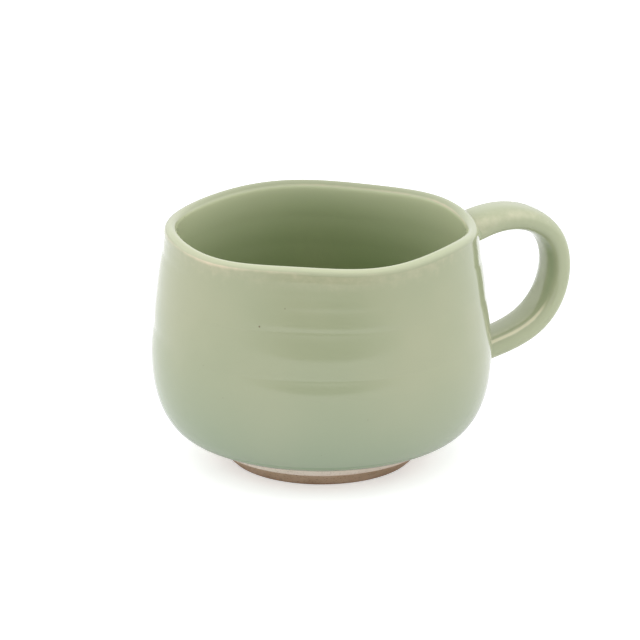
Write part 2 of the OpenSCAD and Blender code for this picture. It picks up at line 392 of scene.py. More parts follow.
@dataclass
class Wiring:
    """A short way to add nodes to one tree and join them."""

    tree: bpy.types.NodeTree

    def add(self, kind: str, settings: dict[str, object] | None = None,
            inputs: dict[object, object] | None = None) -> bpy.types.Node:
        """Adds a node.

        Args:
            kind: the node's type name.
            settings: properties to set on it.
            inputs: values or output sockets for its inputs, by name or number.
        Returns:
            The new node.
        """
        node = self.tree.nodes.new(kind)
        for key, value in (settings or {}).items():
            setattr(node, key, value)
        for key, value in (inputs or {}).items():
            if isinstance(value, Socket):
                self.tree.links.new(value, node.inputs[key])
            else:
                node.inputs[key].default_value = value
        return node

    def math(self, operation: str, a: object, b: object = 0.0, clamp: bool = False) -> Socket:
        """Output of a Math node on two values or sockets."""
        node = self.add("ShaderNodeMath", {"operation": operation, "use_clamp": clamp}, {0: a, 1: b})
        return node.outputs[0]

    def plus(self, a: object, b: object, clamp: bool = False) -> Socket:
        """Sum of two values or sockets."""
        return self.math("ADD", a, b, clamp)

    def less(self, a: object, b: object, clamp: bool = False) -> Socket:
        """The first of two values or sockets less the second."""
        return self.math("SUBTRACT", a, b, clamp)

    def times(self, a: object, b: object, clamp: bool = False) -> Socket:
        """Product of two values or sockets."""
        return self.math("MULTIPLY", a, b, clamp)

    def ramp(self, value: Socket, low: float, high: float) -> Socket:
        """Smooth rise from 0 to 1 as a value goes from low to high."""
        node = self.add("ShaderNodeMapRange", {"interpolation_type": "SMOOTHSTEP"},
                        {"Value": value, "From Min": low, "From Max": high})
        return node.outputs["Result"]

    def blend(self, share: object, a: object, b: object) -> Socket:
        """Output of a colour Mix node."""
        node = self.add("ShaderNodeMix", {"data_type": "RGBA"}, {"Factor": share, 6: a, 7: b})
        return node.outputs[2]

    def noise(self, place: Socket, scale: float, detail: float) -> Socket:
        """Output of a Noise Texture node, from about 0.3 to 0.7."""
        node = self.add("ShaderNodeTexNoise", {}, {"Vector": place, "Scale": scale, "Detail": detail})
        return node.outputs["Fac"]

    def lines(self, place: Socket, across: float, up: float, detail: float) -> Socket:
        """Noise squeezed in height, as level lines round the axis.

        Args:
            place: the coordinates.
            across: scale along X and Y.
            up: scale along Z.
            detail: the noise's detail.
        Returns:
            The noise.
        """
        squeeze = self.add("ShaderNodeMapping", {}, {"Vector": place, "Scale": (across, across, up)})
        return self.noise(squeeze.outputs["Vector"], 1.0, detail)

    def mark(self, name: str) -> Socket:
        """Value of one of the mesh's marks."""
        return self.add("ShaderNodeAttribute", {"attribute_name": name}).outputs["Fac"]

    def group(self, tree: bpy.types.NodeTree, inputs: dict[object, object]) -> bpy.types.Node:
        """Adds the node of a shared effect."""
        return self.add("ShaderNodeGroup", {"node_tree": tree}, inputs)

    def bump(self, strength: float, distance: float, height: Socket) -> Socket:
        """Normal of a Bump node."""
        return self.add("ShaderNodeBump", {}, {
            "Strength": strength, "Distance": distance, "Height": height,
        }).outputs["Normal"]

    def surface(self, inputs: dict[object, object]) -> None:
        """Ends a material's tree with a Principled surface."""
        shader = self.add("ShaderNodeBsdfPrincipled", {}, inputs)
        self.add("ShaderNodeOutputMaterial", {}, {"Surface": shader.outputs["BSDF"]})

    def output(self, name: str, kind: str, value: Socket) -> None:
        """Adds an output socket to the group and feeds it."""
        self.tree.interface.new_socket(name=name, in_out="OUTPUT", socket_type=kind)
        ends = [n for n in self.tree.nodes if n.bl_idname == "NodeGroupOutput"]
        end = ends[0] if ends else self.tree.nodes.new("NodeGroupOutput")
        self.tree.links.new(value, end.inputs[name])


def new_material(name: str) -> tuple[bpy.types.Material, Wiring]:
    """A material whose tree is empty, and the wiring of that tree."""
    mat = bpy.data.materials.new(name)
    mat.use_nodes = True
    mat.node_tree.nodes.clear()
    return mat, Wiring(mat.node_tree)


def new_group(name: str,
              inputs: Sequence[tuple[str, str, object]]) -> tuple[Wiring, bpy.types.NodeOutputs]:
    """Starts a node group.

    Args:
        name: the group's name.
        inputs: name, socket type and first value of each input.
    Returns:
        The wiring of the group, and the sockets that bring its inputs.
    """
    tree = bpy.data.node_groups.new(name, "ShaderNodeTree")
    for title, kind, value in inputs:
        socket = tree.interface.new_socket(name=title, in_out="INPUT", socket_type=kind)
        socket.default_value = value
    return Wiring(tree), tree.nodes.new("NodeGroupInput").outputs


FLOAT = "NodeSocketFloat"
COLOR = "NodeSocketColor"
VECTOR = "NodeSocketVector"
PLACE = ("Vector", VECTOR, (0.0, 0.0, 0.0))


def iron_specks_group() -> bpy.types.NodeTree:
    """Group that scatters a few round specks: cells of a Voronoi pattern near their middles."""
    w, given = new_group("iron_specks", [
        PLACE, ("Scale", FLOAT, 100.0), ("Size", FLOAT, 0.1), ("Share", FLOAT, 0.1),
    ])
    cells = w.add("ShaderNodeTexVoronoi", {}, {"Vector": given["Vector"], "Scale": given["Scale"]})
    parts = w.add("ShaderNodeSeparateColor", {}, {"Color": cells.outputs["Color"]})
    size = w.times(given["Size"], w.plus(parts.outputs["Green"], 0.4))
    near = w.less(1.0, w.math("DIVIDE", cells.outputs["Distance"], size), True)
    dot = w.times(near, 3.0, True)
    chosen = w.math("LESS_THAN", parts.outputs["Red"], given["Share"])
    w.output("Mask", FLOAT, w.times(dot, chosen))
    return w.tree


def glaze_tone_group() -> bpy.types.NodeTree:
    """Group that colours a glaze: pale where it breaks over an edge and where highlights are painted,
    deeper where it pools, and in the hollow painted lit near the lip and painted shaded far down.
    """
    w, given = new_group("glaze_tone", [
        PLACE, ("Body", COLOR, (0.5, 0.5, 0.5, 1.0)), ("Thin", COLOR, (0.7, 0.7, 0.6, 1.0)),
        ("Pooled", COLOR, (0.3, 0.4, 0.3, 1.0)), ("Pale", COLOR, (0.7, 0.7, 0.6, 1.0)),
        ("Deep", COLOR, (0.3, 0.4, 0.3, 1.0)), ("Break", FLOAT, 0.0), ("Pool", FLOAT, 0.0),
        ("Inside", FLOAT, 0.0), ("Depth", FLOAT, 0.0), ("Mottle", FLOAT, 0.3),
    ])
    broad = w.noise(given["Vector"], 22.0, 2.0)
    fine = w.noise(given["Vector"], 420.0, 4.0)
    tint = w.times(given["Mottle"], w.ramp(broad, 0.35, 0.68))
    # Painted light and shade of the hollow: the lit pale tone near the lip, the shaded deep tone far
    # down.
    hollow = w.blend(given["Depth"], given["Pale"], given["Deep"])
    coat = w.blend(given["Inside"], given["Body"], hollow)
    base = w.blend(tint, coat, given["Thin"])
    grain = w.times(w.less(fine, 0.5), 0.5)
    edge = w.ramp(w.plus(given["Break"], grain), 0.15, 0.85)
    shown = w.times(edge, w.plus(given["Break"], 0.2, True), True)
    pale = w.blend(shown, base, given["Thin"])
    w.output("Color", COLOR, w.blend(given["Pool"], pale, given["Pooled"]))
    w.output("Thinness", FLOAT, shown)
    return w.tree


def melt_group() -> bpy.types.NodeTree:
    """Group for the fine swell of a melted glaze and the throwing marks that show through it."""
    w, given = new_group("melt_swell", [PLACE, ("Swell", FLOAT, 0.5), ("Lines", FLOAT, 0.3)])
    swell = w.noise(given["Vector"], 90.0, 2.0)
    lines = w.lines(given["Vector"], 5.0, 420.0, 2.0)
    w.output("Height", FLOAT, w.plus(w.times(swell, given["Swell"]), w.times(lines, given["Lines"])))
    return w.tree


def grit_group() -> bpy.types.NodeTree:
    """Group for bare fired clay: grit, turning lines, toasted patches and a painted shade in the toasted
    tone.
    """
    w, given = new_group("clay_grit", [
        PLACE, ("Body", COLOR, (0.5, 0.4, 0.3, 1.0)), ("Toasted", COLOR, (0.4, 0.3, 0.2, 1.0)),
        ("Grit", COLOR, (0.2, 0.15, 0.1, 1.0)), ("Painted_Shade", FLOAT, 0.0),
    ])
    patches = w.noise(given["Vector"], 90.0, 4.0)
    # The painted shade input pushes the colour on towards the toasted tone.
    share = w.plus(w.times(w.ramp(patches, 0.35, 0.65), 0.5), given["Painted_Shade"], True)
    base = w.blend(share, given["Body"], given["Toasted"])
    grains = w.noise(given["Vector"], 1500.0, 2.0)
    dark = w.times(w.ramp(grains, 0.56, 0.7), 0.55)
    w.output("Color", COLOR, w.blend(dark, base, given["Grit"]))
    lines = w.lines(given["Vector"], 12.0, 1900.0, 1.0)
    w.output("Height", FLOAT, w.plus(w.times(grains, 0.7), w.times(lines, 0.5)))
    return w.tree


class Effect(Enum):
    """The shared effects and the functions that build them."""

    SPECKS = ("iron_specks", iron_specks_group)
    TONE = ("glaze_tone", glaze_tone_group)
    MELT = ("melt_swell", melt_group)
    GRIT = ("clay_grit", grit_group)

    def tree(self) -> bpy.types.NodeTree:
        """The effect's node group, built the first time it is asked for."""
        name, build = self.value
        return bpy.data.node_groups.get(name) or build()


# ---- finishes


Color = tuple[float, float, float, float]


def shade(red: float, green: float, blue: float) -> Color:
    """Linear colour from display values of 0 to 255: ((value + 0.055) / 1.055) ^ 2.4."""
    def linear(value: float) -> float:
        """One channel."""
        v = value / 255.0
        return v / 12.92 if v <= 0.04045 else ((v + 0.055) / 1.055) ** 2.4
    return linear(red), linear(green), linear(blue), 1.0


@dataclass(frozen=True)
class GlazeFinish:
    """A glossy melted glaze with pale breaks, pooled edges and iron specks, and painted light and shade
    in the hollow.
    """

    name: str
    body: Color
    thin: Color
    pooled: Color
    # Painted light and painted shade of the hollow: its lit tone near the lip and its shaded tone far
    # down.
    pale: Color
    deep: Color
    speck: Color
    mottle: float = 0.1
    speck_share: float = 0.05
    swell: float = 0.5
    lines: float = 0.3

    @cache
    def material(self) -> bpy.types.Material:
        """The material, built once. It reads object coordinates and the marks of the mesh."""
        mat, w = new_material(self.name)
        place = w.add("ShaderNodeTexCoord").outputs["Object"]
        tone = w.group(Effect.TONE.tree(), {
            "Vector": place, "Body": self.body, "Thin": self.thin, "Pooled": self.pooled,
            "Pale": self.pale, "Deep": self.deep, "Break": w.mark("thin"), "Pool": w.mark("pool"),
            "Inside": w.mark("inside"), "Depth": w.mark("depth"), "Mottle": self.mottle,
        })
        big = w.group(Effect.SPECKS.tree(), {
            "Vector": place, "Scale": 150.0, "Size": 0.055, "Share": self.speck_share,
        })
        small = w.group(Effect.SPECKS.tree(), {
            "Vector": place, "Scale": 330.0, "Size": 0.075, "Share": self.speck_share * 2.5,
        })
        specks = w.math("MAXIMUM", big.outputs["Mask"], w.times(small.outputs["Mask"], 0.4))
        melt = w.group(Effect.MELT.tree(), {"Vector": place, "Swell": self.swell, "Lines": self.lines})
        height = w.less(melt.outputs["Height"], w.times(specks, 0.15))
        w.surface({
            "Base Color": w.blend(w.times(specks, 0.8), tone.outputs["Color"], self.speck),
            "Roughness": w.plus(0.10, w.times(tone.outputs["Thinness"], 0.18)),
            "IOR": 1.5, "Normal": w.bump(0.25, 0.1 * MM, height),
        })
        return mat


@dataclass(frozen=True)
class ClayFinish:
    """Dry fired clay with grit, turning lines and toasted patches, darkened by a painted shade where the
    mesh marks one.
    """

    name: str
    body: Color
    toasted: Color
    grit: Color
    bump: float = 0.5

    @cache
    def material(self) -> bpy.types.Material:
        """The material, built once. It reads object coordinates and the mesh's mark of painted shade."""
        mat, w = new_material(self.name)
        grit = w.group(Effect.GRIT.tree(), {
            "Vector": w.add("ShaderNodeTexCoord").outputs["Object"], "Body": self.body,
            "Toasted": self.toasted, "Grit": self.grit, "Painted_Shade": w.mark("painted_shade"),
        })
        w.surface({
            "Base Color": grit.outputs["Color"], "Roughness": 0.75, "IOR": 1.45,
            "Normal": w.bump(self.bump, 0.15 * MM, grit.outputs["Height"]),
        })
        return mat


IRON = shade(92, 74, 50)
# In both glazes, pale and deep are the hollow's painted light and painted shade.
SAGE = GlazeFinish(
    "sage_glaze", body=shade(150, 156, 126), thin=shade(205, 190, 162), pooled=shade(126, 147, 130),
    pale=shade(205, 211, 177), deep=shade(122, 138, 92), speck=IRON,
)
SAGE_STRAP = GlazeFinish(
    "sage_handle_glaze", body=shade(161, 167, 136), thin=shade(210, 206, 178),
    pooled=shade(132, 150, 114), pale=shade(196, 205, 172), deep=shade(124, 142, 96), speck=IRON,
    lines=0.0,
)
# The toasted tones also colour the painted shade at the foot's bottom edge and the wash's low edge.
BARE_CLAY = ClayFinish(
    "bare_toasted_clay", body=shade(175, 149, 125), toasted=shade(136, 108, 80),
    grit=shade(94, 73, 53),
)
WASH = ClayFinish(
    "pale_wiped_wash", body=shade(224, 211, 198), toasted=shade(206, 188, 173),
    grit=shade(176, 158, 140), bump=0.3,
)
STONEWARE = ClayFinish(
    "stoneware_core", body=shade(186, 172, 152), toasted=shade(160, 140, 116),
    grit=shade(120, 98, 76),
)


# ---- sub-assemblies


def hand_over(piece: Piece, node: str, material: bpy.types.Material) -> Piece:
    """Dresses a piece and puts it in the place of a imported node.

    Args:
        piece: the finished piece.
        node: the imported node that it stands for.
        material: its finish.
    Returns:
        The piece.
    """
    piece.data.materials.append(material)
    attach(piece, "root")
    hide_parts(node)
    LOG.info("%s: %d points, %d faces", piece.name, len(piece.data.vertices), len(piece.data.polygons))
    return piece


@dataclass
class ThrownBody:
    """The thrown clay and the two coats of glaze on it."""

    form: MugForm
    outer_rows: int = 190
    liner_rows: int = 110
    hidden_rows: int = 24
    clay_rows: tuple[int, int, int] = (12, 90, 60)
    bead: float = 0.06 * MM

    def coat_start(self) -> Array:
        """How far above its nominal line the glaze begins, at each column."""
        a = self.form.angles()
        waves = np.sin(3 * a + 0.6) + 0.7 * np.sin(7 * a + 2.1) + 0.45 * np.sin(17 * a + 4.0)
        return 0.16 * MM * waves

    def outer_shift(self, path: Array, share: float = 0.5) -> Array:
        """Radial shift by the outer throwing lines, none on the hollow's side of the lip."""
        hidden = self.form.beyond_lip(path, share)[:, None]
        return -np.where(hidden, 0.0, self.form.sunk(path, OUTER_LINES))

    def inner_shift(self, path: Array) -> Array:
        """Radial shift by the inner throwing lines, none at the lap, so that both coats meet."""
        top = self.form.lip_z - self.form.lap_depth
        away = smooth_step((top - path[:, 1]) / (5.0 * MM))[:, None]
        return self.form.sunk(path, INNER_LINES) * away

    def back_of(self, path: Array) -> Array:
        """A path's hidden face: fewer rows, moved in by the coat's thickness."""
        rows = walk(path, self.hidden_rows)
        return rows + left_normals(rows) * self.form.coat_t

    def outer_glaze(self) -> Piece:
        """Coat from the glaze line over the lip, as a closed skin.

        With run the distance from the glaze line, the outside is the turned path, sunk by the
        throwing lines and moved out by bead * bell((run - 0.7 mm) / 0.5 mm)
        - 0.12 mm * exp(-run / 0.18 mm) - 0.28 mm * bell((run - 5 mm) / 5 mm): a bead over a rounded
        edge, then a thinner stretch. Its start slides along the path by coat_start *
        exp(-run / 4 mm). The inside is the same path moved in by the coat's thickness.
        """
        form = self.form
        path = walk(form.outside(), self.outer_rows)
        run = length_along(path)
        skin = form.turned(path, self.outer_shift(path, 0.6))
        normal, tangent = -left_normals(path), tangents(path)
        swell = self.bead * bell((run - 0.7 * MM) / (0.5 * MM))
        swell -= 0.12 * MM * np.exp(-run / (0.18 * MM))
        swell -= 0.28 * MM * bell((run - 5.0 * MM) / (5.0 * MM))
        slide = self.coat_start()[None, :] * np.exp(-run / (4.0 * MM))[:, None]
        radial, rise = (
            normal[:, None, i] * swell[:, None] + tangent[:, None, i] * slide for i in (0, 1)
        )
        angle = form.angles()[None, :]
        skin += np.stack([radial * np.cos(angle), radial * np.sin(angle), rise], axis=-1)
        back_path = self.back_of(form.outside())
        back = form.turned(back_path, self.outer_shift(back_path))
        thin, pool, inside = self.coat_marks(path, run)
        # The hollow's painted light and shade, let in where the inside mark allows.
        shown = {"thin": thin, "pool": pool, "inside": inside, "depth": self.hollow_shade_mark(path)}
        pad = np.zeros((self.hidden_rows, form.facets))
        marks = {name: np.concatenate([mark, pad]) for name, mark in shown.items()}
        piece = ring_mesh("sage_outer_coat", np.concatenate([skin, back[::-1]]), True, marks)
        return hand_over(piece, "outer_glaze", SAGE.material())

    def coat_marks(self, path: Array, run: Array) -> tuple[Array, Array, Array]:
        """Where the outer coat is thin, where it pools and where it is inside, from 0 to 1.

        With turn the angle round the lip's middle, 0 outwards and 90 up, thin is a bell about 16
        degrees and one about 156, each stronger on one side of the mug, and under the lip
        0.4 * bell(drop / 5.5 mm). Pool is 0.42 * bell((run - 10 mm) / 24 mm). Inside brings in the
        hollow's painted light and shade: it climbs over the lip, to 0.5 at most in front, a painted
        highlight of the hollow's lit tone on the crest, then to 1 from 140 to 180 degrees; on the wall
        outside it is 0.3 * bell(run / 9 mm), darker and greener towards the glaze line.

        Args:
            path: the coat's (radius, height) rows.
            run: distance of each row from the glaze line.
        Returns:
            The marks "thin", "pool" and "inside", one value a row and column.
        """
        form = self.form
        a = form.angles()[None, :]
        front = np.cos(form.from_front())
        lip_middle = form.rim_r - form.lip_t / 2.0
        turn = np.degrees(np.arctan2(path[:, 1] - form.lip_z, path[:, 0] - lip_middle))
        on_lip = path[:, 1] >= form.lip_z
        drop = form.lip_z - path[:, 1]
        outside = path[:, 0] > lip_middle
        outer_edge = np.where(on_lip, 0.65 * bell((turn - 16.0) / 14.0), 0.0)[:, None]
        outer_edge = outer_edge * (0.6 + 0.4 * np.cos(a - math.radians(200.0)))
        inner_edge = np.where(on_lip, 0.62 * bell((turn - 156.0) / 14.0), 0.0)[:, None]
        inner_edge = inner_edge * (0.55 + 0.45 * np.cos(a - math.radians(30.0)))
        wall = np.where(outside & (drop > 0.0), 0.4 * bell(drop / (5.5 * MM)), 0.0)[:, None]
        uneven = 0.8 + 0.25 * np.sin(2 * a + 1.0) + 0.15 * np.sin(5 * a + 2.0) + 0.1 * np.sin(11 * a)
        faced = (0.65 + 0.35 * front) * (0.9 + 0.1 * np.sin(9 * a))
        thin = (outer_edge + inner_edge) * uneven + wall * faced
        pooled = 0.42 * bell((run - 10.0 * MM) / (24.0 * MM))[:, None]
        # Painted highlight: the crest takes the hollow's lit tone, more on the side that faces the
        # camera.
        crest = smooth_step((turn - 5.0) / 50.0)[:, None] * (0.25 + 0.25 * front)
        crest = crest + (1.0 - crest) * smooth_step((turn - 140.0) / 40.0)[:, None]
        lower_edge = 0.3 * bell(run / (9.0 * MM))
        inside = np.where(on_lip[:, None], crest, np.where(outside, lower_edge, 1.0)[:, None])
        marks = np.broadcast_arrays(thin, pooled, inside)
        return tuple(np.clip(mark, 0.0, 1.0) for mark in marks)

    def liner_glaze(self) -> Piece:
        """Coat of the hollow, as a closed skin from the lap to the middle of the floor."""
        form = self.form
        path = walk(form.inside(), self.liner_rows)
        skin = form.turned(path, self.inner_shift(path))
        back_path = self.back_of(form.inside())
        back = form.turned(back_path, self.inner_shift(back_path))
        rings = np.concatenate([back[::-1], skin])
        pad = np.ones((self.hidden_rows, form.facets))
        marks = {"thin": np.zeros((1, 1)), "pool": np.zeros((1, 1)), "inside": np.ones((1, 1))}
        # Painted light and shade of the hollow; the hidden back is painted fully shaded.
        marks["depth"] = np.concatenate([pad, self.hollow_shade_mark(path)])
        piece = ring_mesh("sage_liner_coat", rings, False, marks)
        return hand_over(piece, "liner_glaze", SAGE.material())

    def hollow_shade_mark(self, path: Array) -> Array:
        """Painted light and shade of the hollow, from 0 at the lip, painted lit and pale, to 1 far down,
        painted shaded and dark.

        It is 1 - edge * exp(-drop / 1 mm) - (1 - edge) * exp(-drop / reach). The edge is 0.3 and
        the reach 10 mm; on the two flanks, to the left and right of the side that faces the camera,
        they are 0.1 and 26 mm, which paints more light down the flanks.
        """
        drop = np.clip(self.form.lip_z - path[:, 1:], 0.0, None)
        flank = np.sin(self.form.from_front()) ** 2
        edge = 0.3 - 0.2 * flank
        reach = (10.0 + 16.0 * flank) * MM
        return 1.0 - edge * np.exp(-drop / MM) - (1.0 - edge) * np.exp(-drop / reach)

    def clay(self) -> Piece:
        """Thrown clay under the coats: its flat underside, then its outside and its inside."""
        form = self.form
        base_rows, outer_rows, inner_rows = self.clay_rows
        outer = walk(form.outside(), outer_rows)
        inner = walk(form.inside(), inner_rows)
        path = np.concatenate([outer, inner[1:]])
        shift = np.concatenate([self.outer_shift(outer), self.inner_shift(inner)[1:]])
        path = path + left_normals(path) * form.glaze_t
        base = np.array([[0.5 * MM, form.foot_h], [form.foot_top_r - form.glaze_t, form.foot_h]])
        under = form.turned(walk(base, base_rows), np.zeros((base_rows, 1)))
        rings = np.concatenate([under, form.turned(path, shift)])
        piece = ring_mesh("thrown_clay_body", rings, False, {"painted_shade": np.zeros((1, 1))})
        return hand_over(piece, "clay_body", STONEWARE.material())

    def build(self) -> list[Piece]:
        """Makes the clay and both coats."""
        return [self.clay(), self.outer_glaze(), self.liner_glaze()]


@dataclass
class TurnedFoot:
    """The bare foot ring and the pale band wiped round its top."""

    form: MugForm
    bevel: float = 0.35 * MM
    step: float = 0.3 * MM

    def uneven(self, amount: float, turns: Sequence[int]) -> Array:
        """Slow unevenness round the foot, one value a column."""
        a = self.form.angles()
        return amount * sum(np.sin(n * a + 1.3 * n) / (1 + i) for i, n in enumerate(turns))[None, :]

    def ring(self) -> Piece:
        """Ring with a worn outer edge and a turned recess, its section carried round the axis, with a
        painted contact shade towards its bottom edge.
        """
        form = self.form
        inner_r = form.foot_r - form.land
        corners = np.array([
            [inner_r - 1.5 * MM, form.foot_h], [inner_r - 0.2 * MM, 0.5 * MM], [inner_r + 0.3 * MM, 0.0],
            [form.foot_r - self.bevel, 0.0], [form.foot_r - 0.15 * MM, 0.15 * MM],
            [form.foot_r + 0.05 * MM, self.bevel],
            [form.foot_top_r - self.step - 0.25 * MM, form.foot_h - 0.35 * MM],
            [form.foot_top_r - self.step, form.foot_h], [inner_r - 1.5 * MM, form.foot_h],
        ])
        section = walk(corners, 90)[:-1]
        share = np.clip(section[:, 1:] / form.foot_h, 0.0, 1.0)
        outside = section[:, :1] > form.foot_r - form.land / 2.0
        wobble = np.where(outside, self.uneven(0.07 * MM, (2, 5, 9)) * smooth_step(share), 0.0)
        rings = form.turned(section, wobble)
        # Painted contact shade: 0.55 on the lowest 0.12 of the foot, then fading upwards, darker where
        # the foot meets the table.
        painted_shade = np.where(share < 0.12, 0.55, 0.15 * (1.0 - share))
        piece = ring_mesh("turned_foot_ring", rings, True, {"painted_shade": painted_shade})
        return hand_over(piece, "foot_ring", BARE_CLAY.material())

    def wash(self) -> Piece:
        """Pale band between the bare foot and the glaze line, a thin closed skin."""
        form = self.form
        reach = 1.2 * MM
        start = np.array([form.foot_top_r, form.foot_h])
        end = np.array([form.edge_r, form.edge_z])
        corners = np.array([
            start + [-0.45 * MM, 0.0], start + [-0.12 * MM, 0.0], start + [0.0, 0.12 * MM], end,
            end + [0.15 * MM, 0.25 * MM], end + [reach, 0.33 * MM], end + [-0.3 * MM, 0.4 * MM],
            start + [-0.45 * MM, 0.0],
        ])
        section = walk(corners, 60)[:-1]
        rings = form.turned(section, self.uneven(0.04 * MM, (3, 7)))
        # Painted shade at the band's low edge, in the step above the foot.
        low = bell((section[:, 1:] - form.foot_h) / (0.4 * MM))
        piece = ring_mesh("pale_foot_wash", rings, True, {"painted_shade": 0.5 * low})
        return hand_over(piece, "foot_wash", WASH.material())

    def build(self) -> list[Piece]:
        """Makes the ring and the band."""
        return [self.ring(), self.wash()]


@dataclass
class PulledHandle:
    """The strap, its glaze and the fillets where it meets the wall."""

    form: MugForm
    rows: int = 170
    cols: int = 112
    roundness: float = 2.5
    reach: float = 76.8 * MM
    strap_t: float = 7.5 * MM
    strap_w: float = 15.2 * MM
    root_gap: float = 3.5 * MM
    fillet_r: float = 2.2 * MM
    upper_root_z: float = 65.0 * MM
    lower_root_z: float = 27.0 * MM

    def line(self) -> Array:
        """Control points of the strap's middle line, as (distance from the axis, height)."""
        up, low, out = self.upper_root_z, self.lower_root_z, self.reach
        middle = (up + low) / 2.0
        starts = self.form.wall_r(np.array([up, low])) + self.root_gap
        return np.array([
            [starts[0], up + 1.5 * MM], [out - 17.5 * MM, up + 4.4 * MM], [out - 2.2 * MM, up + 1.5 * MM],
            [out + 1.9 * MM, middle + 2.6 * MM], [out - 5.6 * MM, low + 6.3 * MM],
            [out - 16.0 * MM, low + 2.6 * MM], [starts[1], low + 0.9 * MM],
        ])

    def middle(self, share: Array) -> tuple[Array, Array]:
        """Middle line of the strap, a clamped cubic B-spline of the control points.

        Args:
            share: places along the strap, from 0 at the rim's root to 1 at the belly's.
        Returns:
            The points and the unit directions there, both as (x, z).
        """
        def curve(u: Array) -> Array:
            """The spline by Cox and de Boor's rule."""
            control = self.line()
            n = len(control)
            knots = np.clip(np.arange(n + 4) - 3, 0, n - 3) / (n - 3)
            u = np.clip(u, 0.0, 1.0 - 1e-9)
            basis = [((u >= knots[i]) & (u < knots[i + 1])).astype(float) for i in range(n + 3)]
            for k in (1, 2, 3):
                spans = [max(knots[i + k] - knots[i], 1e-12) for i in range(n + 4 - k)]
                basis = [
                    (u - knots[i]) / spans[i] * basis[i]
                    + (knots[i + k + 1] - u) / spans[i + 1] * basis[i + 1]
                    for i in range(n + 3 - k)
                ]
            return np.stack(basis, axis=1) @ control
        gap = 1e-4
        way = curve(np.minimum(share + gap, 1.0)) - curve(np.maximum(share - gap, 0.0))
        return curve(share), way / np.linalg.norm(way, axis=1, keepdims=True)

    def section(self, inset: float, grow: float = 0.0) -> tuple[Array, Array]:
        """Superellipse of the strap: half sizes times |cos|^(2/roundness) and |sin|^(2/roundness).

        Args:
            inset: distance that the surface is moved in.
            grow: distance that it is moved out.
        Returns:
            Offset towards the outside of the loop and offset across it, one a column.
        """
        v = np.linspace(0.0, 2.0 * math.pi, self.cols, endpoint=False)
        power = 2.0 / self.roundness
        thick = self.strap_t / 2.0 - inset + grow
        wide = self.strap_w / 2.0 - inset + grow
        c, s = np.cos(v), np.sin(v)
        return thick * np.sign(c) * np.abs(c) ** power, -wide * np.sign(s) * np.abs(s) ** power

    def grooves(self, share: Array) -> Array:
        """Depth of the marks that fingers left along both inner edges of the strap.

        Each is a fine crease along the lower arm, crease * bell((v - 141) / 3.5 degrees), and a
        soft hollow round the bend, dent * bell((v - 141) / 17 degrees).

        Args:
            share: places along the strap.
        Returns:
            A depth for each place and column.
        """
        v = np.degrees(np.linspace(0.0, 2.0 * math.pi, self.cols, endpoint=False))[None, :]
        s = share[:, None]
        crease = 0.15 * MM * smooth_step((s - 0.55) / 0.2)
        dent = 0.42 * MM * smooth_step((s - 0.2) / 0.2) * smooth_step((0.7 - s) / 0.25)
        fine = bell((v - 141.0) / 3.5) + bell((v - 219.0) / 3.5)
        broad = bell((v - 141.0) / 17.0) + bell((v - 219.0) / 17.0)
        return crease * fine + dent * broad

    def strap(self, inset: float) -> Array:
        """Rings of the free strap: the section carried along the middle line.

        The finger marks shrink it, its width falls by 0.015 * (1 - cos(6 * share)) of itself, and
        its outer side is thicker by 0.18 * exp(-share / 0.07) - 0.05 * bell((share - 0.22) / 0.13)
        of the half thickness, share being the place along the strap.
        """
        share = np.linspace(0.0, 1.0, self.rows)
        at, way = self.middle(share)
        out, across = self.section(inset)
        shrink = 1.0 - self.grooves(share) / np.hypot(out, across)[None, :]
        flare = 0.18 * np.exp(-share / 0.07) - 0.05 * bell((share - 0.22) / 0.13)
        swell = 1.0 + np.where(out[None, :] > 0.0, flare[:, None], 0.0)
        along = out[None, :] * shrink * swell
        wide = across[None, :] * shrink * (1.0 - 0.015 * (1.0 - np.cos(6.0 * share))[:, None])
        x = at[:, :1] - way[:, 1:] * along
        z = at[:, 1:] + way[:, :1] * along
        return np.stack([x, wide, z], axis=-1)

    def on_wall(self, points: Array, way: Array, depth: float) -> Array:
        """Slides points along a direction on to the wall.

        The distance still missing, wall radius less depth less the point's own radius, is walked
        along the direction a few times over.

        Args:
            points: points near the wall.
            way: unit direction away from the wall.
            depth: how far inside the wall's surface to end.
        Returns:
            The points on the wall.
        """
        for _ in range(5):
            miss = self.form.wall_r(points[..., 2]) - depth - np.hypot(points[..., 0], points[..., 1])
            points = points + way * (miss / way[0])[..., None]
        return points

    def root_way(self, share: float) -> Array:
        """Direction of the strap at a root, pointing away from the wall."""
        _, way = self.middle(np.array([share]))
        sign = 1.0 if way[0, 0] > 0 else -1.0
        return np.array([way[0, 0], 0.0, way[0, 1]]) * sign

    def to_wall(self, rings: Array, depth: float) -> Array:
        """Adds the rings that carry both ends of the strap on to the wall."""
        ends = []
        for ring, share in ((rings[0], 0.0), (rings[-1], 1.0)):
            landed = self.on_wall(ring, self.root_way(share), depth)
            steps = np.linspace(0.0, 1.0, 10)[:, None, None]
            ends.append(landed * (1.0 - steps) + ring * steps)
        return np.concatenate([ends[0][:-1], rings, ends[1][::-1][1:]])

    def core(self) -> Piece:
        """Clay of the strap, between the clay walls at its roots."""
        inset = self.form.glaze_t
        rings = self.to_wall(self.strap(inset), inset)
        piece = ring_mesh("pulled_strap", rings, False, {"painted_shade": np.zeros((1, 1))})
        return hand_over(piece, "handle", STONEWARE.material())

